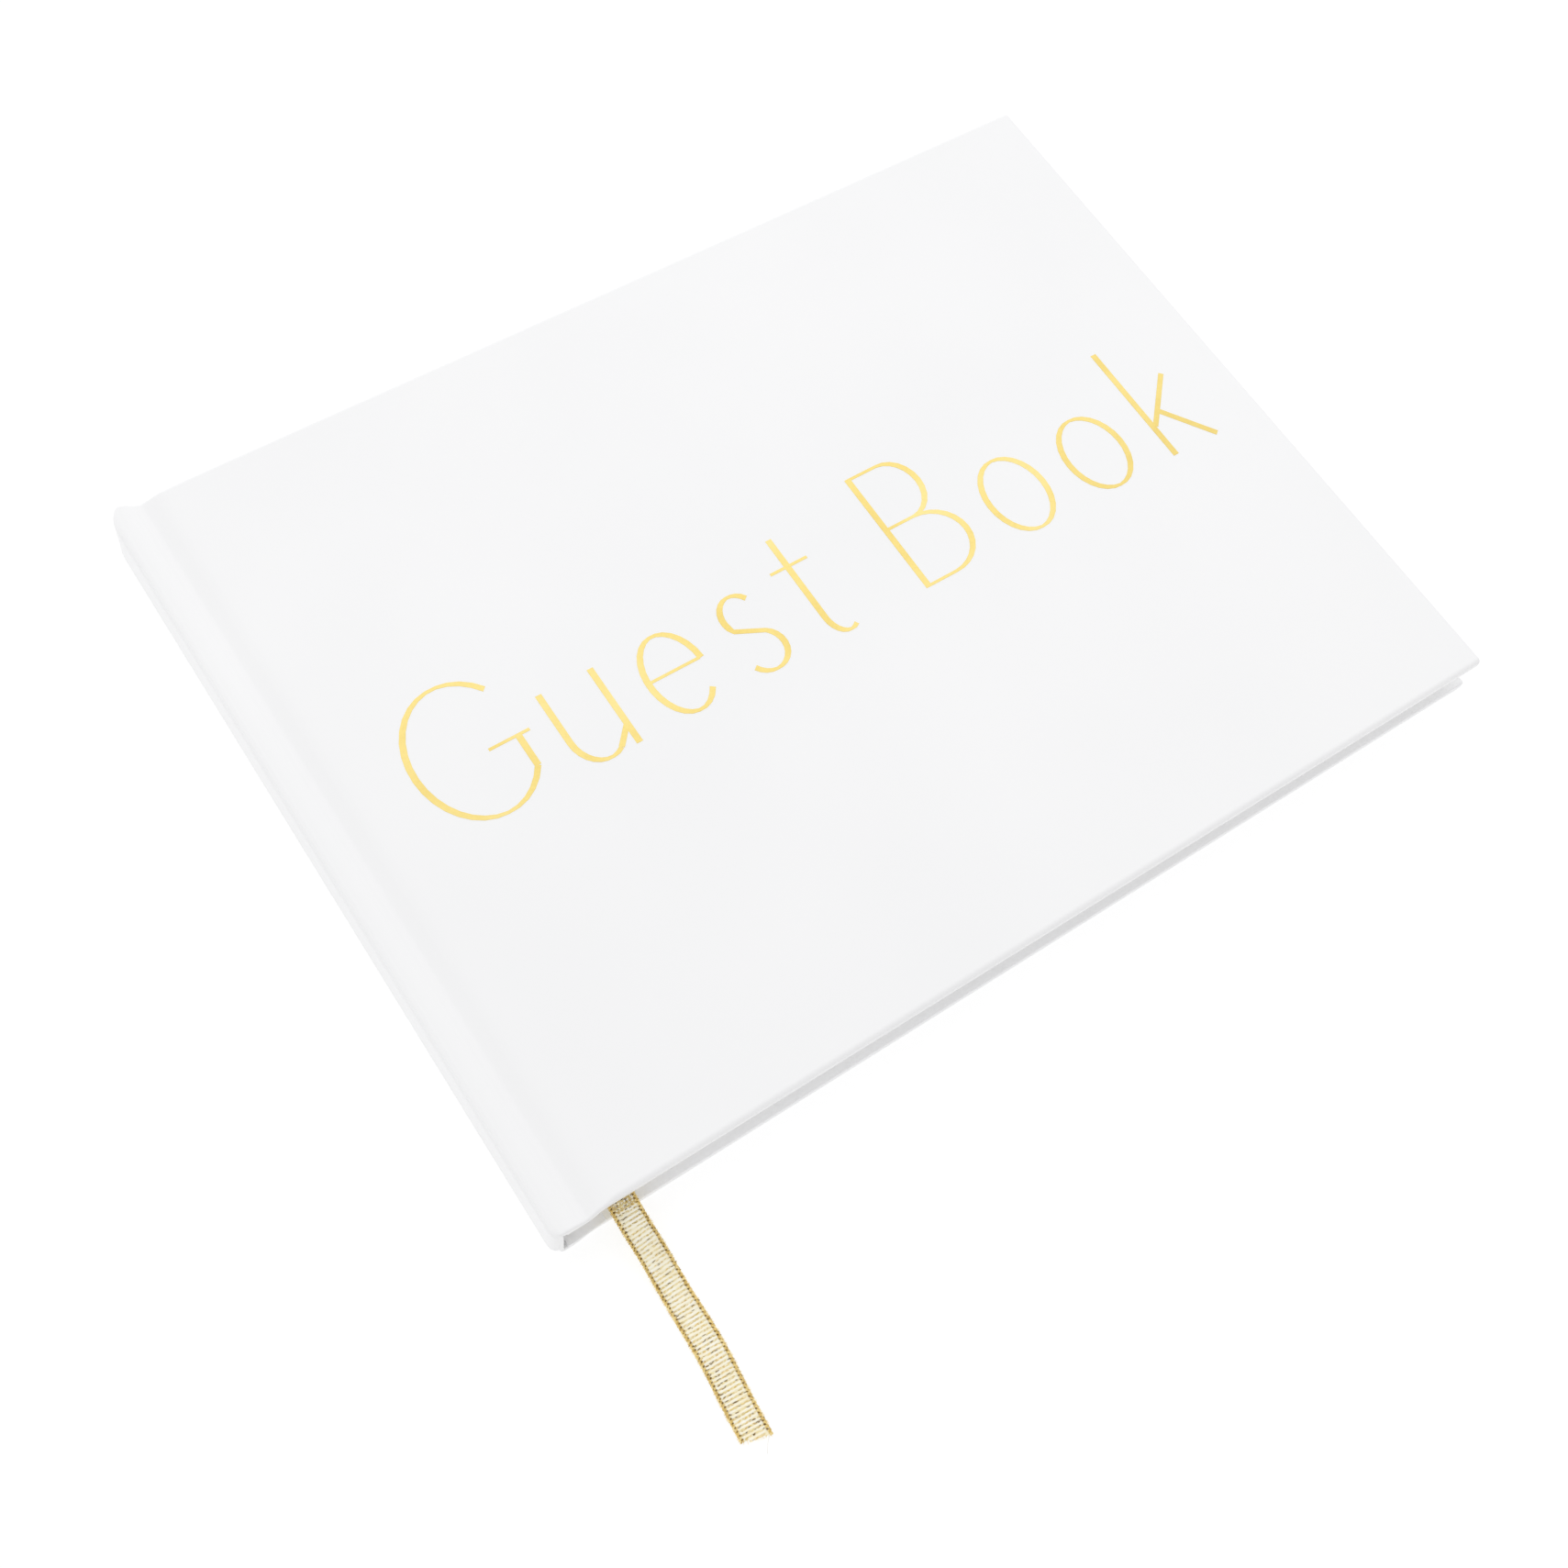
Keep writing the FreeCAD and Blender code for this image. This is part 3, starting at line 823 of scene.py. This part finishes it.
# -------------------------------------------------------------------- tubes
def tube(points, radius, sides=8, closed=False):
    """Round cord along points, in millimetres; radius is a number or a list."""
    p = np.asarray(points, float)
    n = len(p)
    rad = [radius] * n if np.isscalar(radius) else list(radius)
    tang = np.gradient(p, axis=0)
    tang /= np.maximum(np.linalg.norm(tang, axis=1), 1e-9)[:, None]
    ref = np.array((0.0, 0.0, 1.0))
    if abs(tang[0] @ ref) > 0.9:
        ref = np.array((1.0, 0.0, 0.0))
    verts, faces = [], []
    u = np.cross(ref, tang[0])
    u /= np.linalg.norm(u)
    for i in range(n):
        u = u - tang[i] * (u @ tang[i])
        u /= max(np.linalg.norm(u), 1e-9)
        w = np.cross(tang[i], u)
        for j in range(sides):
            a = 2 * math.pi * j / sides
            verts.append(tuple(p[i] + rad[i] * (math.cos(a) * u + math.sin(a) * w)))
    for i in range(n - 1):
        for j in range(sides):
            a, b = i * sides + j, i * sides + (j + 1) % sides
            faces.append((a, b, b + sides, a + sides))
    faces.append(tuple(range(sides))[::-1])
    faces.append(tuple((n - 1) * sides + j for j in range(sides)))
    return verts, faces


# -------------------------------------------------------------- head bands
def woven_band(name, node, sign):
    """A core cord wrapped with thread, on a tape glued to the spine."""
    a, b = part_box(node)
    z0, z1 = a.z * 1000.0, b.z * 1000.0
    yc = sign * (HALF_H - 3.0 + 0.75)
    xc = 3.0 + 0.75
    parts = [tube([(xc, yc, z0 + (z1 - z0) * i / 12) for i in range(13)], 0.55, 12)]
    turns = int((z1 - z0) / 0.34)
    for i in range(turns):
        zc = z0 + (i + 0.5) * (z1 - z0) / turns
        pts = []
        for j in range(15):
            t = math.radians(-40 + 260 * j / 14)
            pts.append((xc + 0.62 * math.cos(t), yc + sign * 0.62 * math.sin(t), zc + 0.12 * (j / 14 - 0.5)))
        parts.append(tube(pts, 0.15, 6))
    tape = [
        (x, y, z)
        for z in (z0 + 0.05, z1 - 0.05)
        for x, y in ((2.86, sign * (HALF_H - 10.0)), (2.99, sign * (HALF_H - 10.0)), (2.99, yc), (2.86, yc))
    ]
    parts.append((tape, [(0, 1, 2, 3), (7, 6, 5, 4), (0, 4, 5, 1), (1, 5, 6, 2), (2, 6, 7, 3), (3, 7, 4, 0)]))
    obj = new_object(name, *join(parts))
    sharp_by_angle(obj, 50)
    paint(obj, M_BAND)
    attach(obj, "text_block")
    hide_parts(node)
    return obj


woven_band("head_band_woven", "head_band", 1)
woven_band("tail_band_woven", "tail_band", -1)

# ------------------------------------------------------------ ribbon marker
RIB_W, RIB_PITCH = 6.0, 0.83
TAIL_ROUTE = [
    (0.0, 5.995),
    (4.0, 5.85),
    (8.6, 4.75),
    (13.4, 2.35),
    (18.6, 0.70),
    (25.6, 0.22),
    (34.0, 0.52),
    (43.0, 0.20),
    (53.0, 0.42),
]
EXIT_X, EXIT_Y = 15.7, -HALF_H + 3.0
# The tail runs nearly straight out, then drifts towards the spine.
DRIFT = [0.0, -0.15, -0.25, 0.05, 0.20, 0.20, -0.20, -0.75, -1.7]


def spline_points(route):
    """Points along the route's own smooth line, about 0.1 mm apart."""
    data = bpy.data.curves.new("route", "CURVE")
    data.dimensions = "3D"
    s = data.splines.new("NURBS")
    s.points.add(len(route) - 1)
    for p, q in zip(s.points, route):
        p.co = (q[0], q[1], q[2], 1.0)
    s.order_u = 3
    s.use_endpoint_u = True
    s.resolution_u = 24
    o = bpy.data.objects.new("route", data)
    bpy.context.scene.collection.objects.link(o)
    bpy.context.view_layer.update()
    mesh = bpy.data.meshes.new_from_object(o)
    pts = np.array([v.co for v in mesh.vertices], float)
    bpy.data.meshes.remove(mesh)
    bpy.data.objects.remove(o)
    return pts


def along(points, step):
    d = np.concatenate([[0.0], np.cumsum(np.linalg.norm(np.diff(points, axis=0), axis=1))])
    n = max(2, int(round(d[-1] / step)))
    s = np.linspace(0, d[-1], n + 1)
    return np.column_stack([np.interp(s, d, points[:, i]) for i in range(3)]), s


class Strip:
    """Maps (along, across, height) to a flat ribbon laid on a line."""

    def __init__(self, points, sway=None, twist=None):
        self.p, self.s = along(points, 0.2)
        t = np.gradient(self.p, axis=0)
        t /= np.linalg.norm(t, axis=1)[:, None]
        side = np.cross(t, (0.0, 0.0, 1.0))
        side /= np.linalg.norm(side, axis=1)[:, None]
        self.side, self.up = side, np.cross(side, t)
        self.sway, self.twist = sway, twist
        self.length = self.s[-1]

    def at(self, s, w, h):
        s = min(max(s, -0.5), self.length + 0.8)
        i = min(max(int(np.searchsorted(self.s, s)) - 1, 0), len(self.s) - 2)
        f = (s - self.s[i]) / (self.s[i + 1] - self.s[i])
        p = self.p[i] * (1 - f) + self.p[i + 1] * f
        side = self.side[i] * (1 - f) + self.side[i + 1] * f
        up = self.up[i] * (1 - f) + self.up[i + 1] * f
        if self.twist:
            a = self.twist(s)
            side, up = side * math.cos(a) + up * math.sin(a), up * math.cos(a) - side * math.sin(a)
        if self.sway:
            w = w + self.sway(s)
        return tuple(p + side * w + up * h)


def sheet_on(strip, s0, s1, w0, w1, h0, h1, step=0.26, across=10, ripple=None):
    """Closed thin sheet laid on a strip."""
    ns = max(2, int(round((s1 - s0) / step)))
    verts, faces = [], []
    for top in (1, 0):
        for i in range(ns + 1):
            s = s0 + (s1 - s0) * i / ns
            for j in range(across + 1):
                w = w0 + (w1 - w0) * j / across
                r = ripple(s, w) if ripple else 0.0
                verts.append(strip.at(s, w, (h1 if top else h0) + r))
    row, low = across + 1, (ns + 1) * (across + 1)
    for i in range(ns):
        for j in range(across):
            a, b, c, d = i * row + j, i * row + j + 1, (i + 1) * row + j + 1, (i + 1) * row + j
            faces.append((a, b, c, d))
            faces.append((low + d, low + c, low + b, low + a))
        a, d = i * row, (i + 1) * row
        faces.append((a, d, low + d, low + a))
        a, d = i * row + across, (i + 1) * row + across
        faces.append((d, a, low + a, low + d))
    for j in range(across):
        faces.append((j + 1, j, low + j, low + j + 1))
        a = ns * row + j
        faces.append((a, a + 1, low + a + 1, low + a))
    return verts, faces


def woven_ribbon(strip, s_end, fine=True, skew_end=0.0):
    """Satin picks over a sheer ground, broken lurex lines, corded golden edges."""
    base = -0.02

    def end_at(w):
        return s_end + skew_end * w / 3.0

    def spread(s):
        return 1.0 + 0.05 * smoothstep(22.0, 30.0, s)

    ground = []
    lanes = 5
    for i in range(lanes):
        w0 = -2.55 + 5.10 * i / lanes
        w1 = -2.55 + 5.10 * (i + 1) / lanes
        ground.append(sheet_on(strip, 0.0, end_at(0.5 * (w0 + w1)) - 0.1, w0, w1, base - 0.05, base - 0.01, 0.39 if fine else 0.8, 1))
    picks, lurex, selv, dark = [], [], [], []
    rows = int((s_end + abs(skew_end)) / RIB_PITCH)
    for i in range(rows):
        s = (i + 0.5) * RIB_PITCH
        k = spread(s)
        w_low, w_high = -2.25, 2.25
        if skew_end < 0 and s > end_at(w_high) - 0.2:
            w_high = max(-2.2, (s_end - 0.2 - s) * 3.0 / -skew_end)
        if skew_end > 0 and s > end_at(w_low) - 0.2:
            w_low = min(2.2, (s + 0.2 - s_end) * 3.0 / skew_end)
        if w_high - w_low < 0.5:
            continue
        lift = rng.uniform(-0.010, 0.014)
        skew = rng.uniform(-0.07, 0.07)
        wide = 0.25 + rng.uniform(-0.02, 0.02)
        n = 16 if fine else 8
        verts, faces = [], []
        for j in range(n + 1):
            w = w_low + (w_high - w_low) * j / n
            # The satin thread dips under the binding ends as it crosses.
            wave = math.sin(2 * math.pi * (w / 1.1) + math.pi * (i % 2))
            h = base + 0.05 + lift + 0.028 * wave
            ds = skew * (w / 2.4)
            r = wide * (1.0 - 0.10 * wave)
            verts += [
                strip.at(s + ds - r, w * k, h - 0.03),
                strip.at(s + ds - r * 0.6, w * k, h + 0.012),
                strip.at(s + ds + r * 0.6, w * k, h + 0.012),
                strip.at(s + ds + r, w * k, h - 0.03),
                strip.at(s + ds, w * k, h - 0.045),
            ]
        for j in range(n):
            for q in range(5):
                u, v = j * 5 + q, j * 5 + (q + 1) % 5
                faces.append((u, v, v + 5, u + 5))
        faces.append((4, 3, 2, 1, 0))
        faces.append(tuple(n * 5 + q for q in range(5)))
        picks.append((verts, faces))
        # Lurex floats between this pick and the next, in a brick pattern.
        # Painted shade: in the first 4.5 mm past the cover's edge the dashes are more, denser and thicker, darker as
        # if in the cover's shadow. From there they are sparser and thinner, painted lighter where the ribbon bends
        # down to the table, and fill in again up to about 34 to 40 mm.
        dense = 1.0 if s < 4.5 else 0.74 + 0.20 * smoothstep(10.0, 34.0, s)
        for line, offset in enumerate((-0.16, 0.0, 0.16, 0.34, -0.34) if s < 4.2 else (-0.095, 0.095)):
            w = w_low + 0.05 + (0.42 if (i + line) % 2 else 0.0) + rng.uniform(-0.12, 0.12)
            while w < w_high - 0.25:
                long = min(rng.uniform(0.26, 0.80), w_high - w)
                if rng.random() < dense:
                    sc = s + 0.5 * RIB_PITCH + offset + rng.uniform(-0.05, 0.05)
                    tilt = rng.uniform(-0.08, 0.12)
                    m = 5 if fine else 3
                    pts = []
                    for j in range(m):
                        t = j / (m - 1)
                        pts.append(strip.at(sc + tilt * (t - 0.5), (w + long * t) * k, base + 0.03 + 0.05 * math.sin(math.pi * t)))
                    # Thicker dashes in the first 4.5 mm are painted shade; the thinner ones beyond are painted light.
                    thick = rng.uniform(0.040, 0.088) * (1.15 if s < 4.5 else 0.84 + 0.26 * smoothstep(10.0, 40.0, s))
                    shade = rng.random()
                    (dark if shade < 0.17 else selv if shade > 0.66 else lurex).append(
                        tube(pts, [thick * (0.45 + 0.55 * math.sin(math.pi * (0.15 + 0.7 * j / (m - 1)))) for j in range(m)], 5)
                    )
                w += long + rng.uniform(0.10, 0.30)
    # Three golden strands run along each edge, two of them twisted.
    step = 0.13 if fine else 0.3
    for side in (-1, 1):
        stop = end_at(side * 2.7)
        for strand in (0, 1, 2):
            pts = []
            n = int(stop / step)
            for i in range(n + 1):
                q = stop * i / n
                a = 2 * math.pi * q / (1.9 * RIB_PITCH) * side + math.pi * strand
                if strand < 2:
                    w, h = 2.70 + 0.14 * math.cos(a), 0.005 + 0.06 * math.sin(a)
                else:
                    w, h = 2.40 + 0.05 * math.sin(2 * math.pi * q / 2.3), 0.02 + 0.03 * math.sin(2 * math.pi * q / RIB_PITCH)
                pts.append(strip.at(q, side * w * spread(q), h))
            selv.append(tube(pts, 0.145, 7 if fine else 5))
        for i in range(int(stop / RIB_PITCH)):
            q = (i + 0.5 + 0.25 * side) * RIB_PITCH + rng.uniform(-0.06, 0.06)
            if q > stop - 0.3:
                continue
            k = spread(q)
            # Each turn of the pick shows as a dark stitch beside the cord.
            size = rng.uniform(0.10, 0.19)
            c0 = side * (2.20 + rng.uniform(-0.05, 0.10))
            lean = rng.uniform(0.05, 0.28)
            pts = [strip.at(q - 0.5 * lean + lean * t, (c0 + side * 0.34 * t) * k, 0.10 + 0.05 * math.sin(math.pi * t)) for t in (0, 0.33, 0.66, 1)]
            dark.append(tube(pts, [size * 0.6, size, size, size * 0.6], 6))
            if rng.random() < 0.55:
                c1 = side * rng.uniform(2.62, 2.86)
                size = rng.uniform(0.06, 0.11)
                pts = [strip.at(q + 0.35 + 0.18 * (t - 0.5), (c1 + side * 0.16 * t) * k, 0.13) for t in (0, 0.5, 1)]
                dark.append(tube(pts, [size * 0.6, size, size * 0.6], 5))
            # Picot: the same turn stands out past the cord as a tiny loop.
            for j2 in range(2):
                q2 = q + j2 * 0.5 * RIB_PITCH
                out = 0.20 + rng.uniform(-0.12, 0.16)
                m = 9 if fine else 5
                pts = []
                for j in range(m):
                    a = math.pi * (j / (m - 1) - 0.5)
                    pts.append(strip.at(q2 + 0.12 * math.sin(a), side * (2.70 + (0.12 + out) * math.cos(a)) * k, 0.02 + 0.04 * math.cos(a)))
                selv.append(tube(pts, 0.045, 5 if fine else 4))
    return [ground, picks, lurex, selv, dark]


def ribbon_object(name, groups):
    """One mesh with a material for each kind of yarn."""
    mats = [M_GROUND, M_WEFT, M_LUREX, M_SELV, M_DARK]
    verts, faces, index = [], [], []
    for g, parts in enumerate(groups):
        for v, f in parts:
            base = len(verts)
            verts.extend(v)
            faces.extend([tuple(base + i for i in q) for q in f])
            index.extend([g] * len(f))
    obj = new_object(name, verts, faces)
    for m in mats:
        obj.data.materials.append(m)
    obj.data.polygons.foreach_set("material_index", index)
    sharp_by_angle(obj, 60)
    return obj


tail_points = [(EXIT_X + d, EXIT_Y - s, z) for (s, z), d in zip(TAIL_ROUTE, DRIFT)]
tail_line = spline_points(tail_points)


def tail_sway(s):
    return 0.10 * math.sin(s / 3.4 + 0.6)


def tail_twist(s):
    return 0.05 * math.sin(s / 8.0) * smoothstep(6, 16, s) * (1 - smoothstep(40, 52, s) * 0.5)


tail_strip = Strip(tail_line, tail_sway, None)
groups = woven_ribbon(tail_strip, tail_strip.length - 0.75, True, -0.7)
# The cut end: warp ends and picks that have come loose.
L = tail_strip.length
for i in range(22):
    w = -2.6 + 5.2 * (i + rng.uniform(0.2, 0.8)) / 22
    reach = rng.uniform(0.3, 0.9)
    bend = rng.uniform(-0.3, 0.3)
    root = L - 1.0 - 0.23 * w
    pts = [tail_strip.at(min(root + reach * t, L + 0.75), w + bend * t * t, 0.0 + 0.04 * t) for t in (0, 0.25, 0.5, 0.75, 1.0)]
    groups[3 if i % 3 == 0 else 1].append(tube(pts, [0.05, 0.045, 0.04, 0.03, 0.02], 5))
ribbon_tail = ribbon_object("ribbon_tail_woven", groups)
path = [frame_point(*tail_strip.at(s, 0.0, 0.0)) for s in np.linspace(0, L - 0.1, 160)]
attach(ribbon_tail, "text_block")
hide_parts("ribbon_marker_tail")

# One loose white thread hangs from the cut end.
thread_pts = [
    (16.9, -138.6, 0.52), (16.75, -139.4, 0.45), (16.45, -139.9, 0.30), (16.05, -140.3, 0.16),
    (15.5, -140.8, 0.12), (15.1, -141.4, 0.12), (14.7, -141.9, 0.12), (14.3, -142.4, 0.12),
]
thread_line = spline_points(thread_pts)
thread_line[:, 2] = np.maximum(thread_line[:, 2], 0.09)
loose = new_object("ribbon_loose_thread", *tube(along(thread_line, 0.15)[0], 0.055, 6))
k = thread_material("loose_thread", (0.80, 0.78, 0.72), (0.93, 0.92, 0.88))
paint(loose, k)
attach(loose, "text_block")
frame_point(*tail_strip.at(0, 0, 0))

# The stretch between the leaves, flat and straight from the head to the exit.
z0, z1 = node_z("ribbon_marker_inner")
inner_line = np.array([(7.0, HALF_H - 3.0, 0.5 * (z0 + z1)), (EXIT_X, EXIT_Y, 0.5 * (z0 + z1))])
inner_strip = Strip(along(inner_line, 0.5)[0])
inner = ribbon_object("ribbon_inner_woven", woven_ribbon(inner_strip, inner_strip.length, fine=False))
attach(inner, "text_block")
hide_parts("ribbon_marker_inner")
